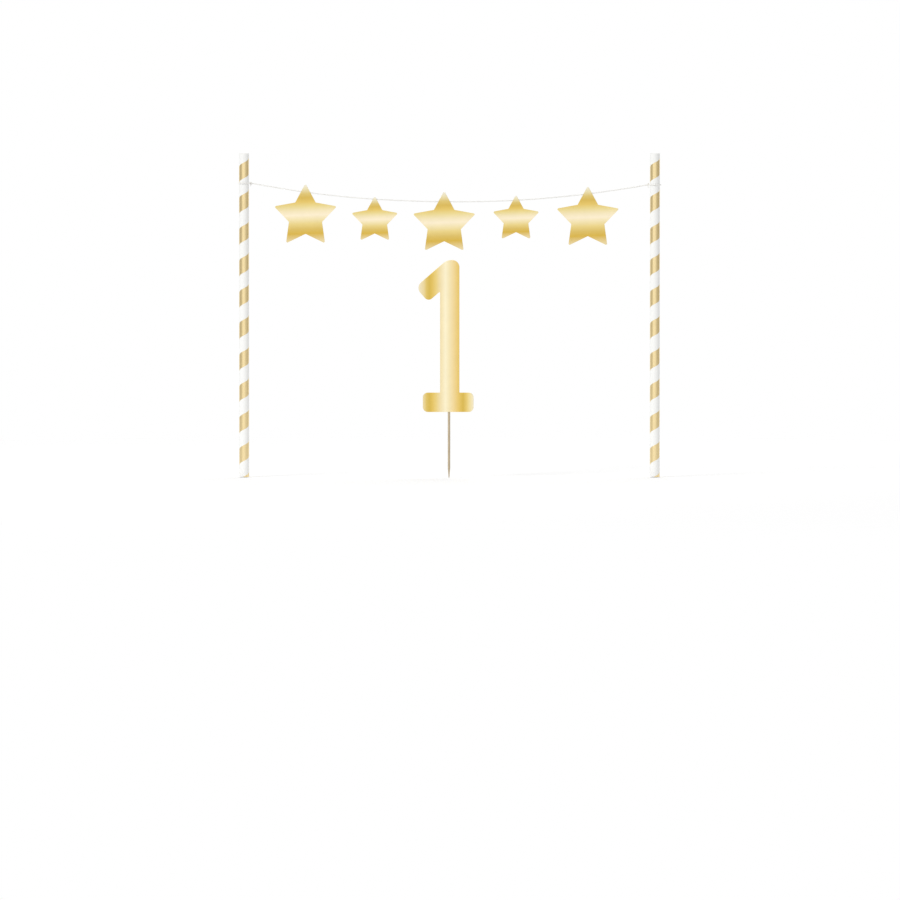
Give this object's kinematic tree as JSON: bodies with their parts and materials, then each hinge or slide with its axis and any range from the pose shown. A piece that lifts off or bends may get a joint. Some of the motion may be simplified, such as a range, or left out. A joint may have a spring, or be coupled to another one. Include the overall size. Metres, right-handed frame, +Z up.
{
  "type": "cake topper",
  "caption": "Cake topper: striped paper straws hold a string of gold card stars that swing, and a gold card numeral on a wooden stick stands in front and lifts out.",
  "frame": {"origin": "midway between the two straws' axes, level with their feet", "axes": "+X from the left straw to the right one, +Y to the back, +Z up"},
  "size_m": [0.2576, 0.0163, 0.197],
  "materials": {
    "striped_straw_paper": "white paper with printed gold spiral stripes",
    "plain_straw_paper": "uncoated white paper",
    "cotton_string": "twisted white cotton",
    "gold_foil_card": "gold foil on white card",
    "paper_tape": "creped paper tape",
    "stick_wood": "bare bamboo"
  },
  "bodies": {
    "straws_and_string": {"left_straw_inner_ply": "plain_straw_paper", "left_straw_middle_ply": "plain_straw_paper", "left_straw_outer_ply": "striped_straw_paper", "right_straw_inner_ply": "plain_straw_paper", "right_straw_middle_ply": "plain_straw_paper", "right_straw_outer_ply": "striped_straw_paper", "garland_string": "cotton_string", "left_string_loop": "cotton_string", "left_string_knot": "cotton_string", "right_string_loop": "cotton_string", "right_string_knot": "cotton_string"},
    "star_1": {"star_1": "gold_foil_card", "star_1_hanging_tab": "paper_tape"},
    "star_2": {"star_2": "gold_foil_card", "star_2_hanging_tab": "paper_tape"},
    "star_3": {"star_3": "gold_foil_card", "star_3_hanging_tab": "paper_tape"},
    "star_4": {"star_4": "gold_foil_card", "star_4_hanging_tab": "paper_tape"},
    "star_5": {"star_5": "gold_foil_card", "star_5_hanging_tab": "paper_tape"},
    "number_pick": {"number_card": "gold_foil_card", "number_stick": "stick_wood", "stick_tape_lower": "paper_tape", "stick_tape_upper": "paper_tape"}
  },
  "joints": [
    {"name": "star_1_swing", "type": "hinge", "parent": "straws_and_string", "child": "star_1", "pos_m": [-0.0876, 0, 0.17347], "axis": [0.9903, 0, -0.1392], "range_deg": [-90, 90]},
    {"name": "star_2_swing", "type": "hinge", "parent": "straws_and_string", "child": "star_2", "pos_m": [-0.04545, 0, 0.16918], "axis": [0.998, 0, -0.0637], "range_deg": [-90, 90]},
    {"name": "star_3_swing", "type": "hinge", "parent": "straws_and_string", "child": "star_3", "pos_m": [-0.0032, 0, 0.16762], "axis": [1, 0, -0.0073], "range_deg": [-90, 90]},
    {"name": "star_4_swing", "type": "hinge", "parent": "straws_and_string", "child": "star_4", "pos_m": [0.0405, 0, 0.16851], "axis": [0.9986, 0, 0.0536], "range_deg": [-90, 90]},
    {"name": "star_5_swing", "type": "hinge", "parent": "straws_and_string", "child": "star_5", "pos_m": [0.0842, 0, 0.17242], "axis": [0.9925, 0, 0.1226], "range_deg": [-90, 90]},
    {"name": "number_pick_lift", "type": "slide", "parent": "straws_and_string", "child": "number_pick", "axis": [0, 0, 1], "range_m": [0, 0.2]}
  ]
}
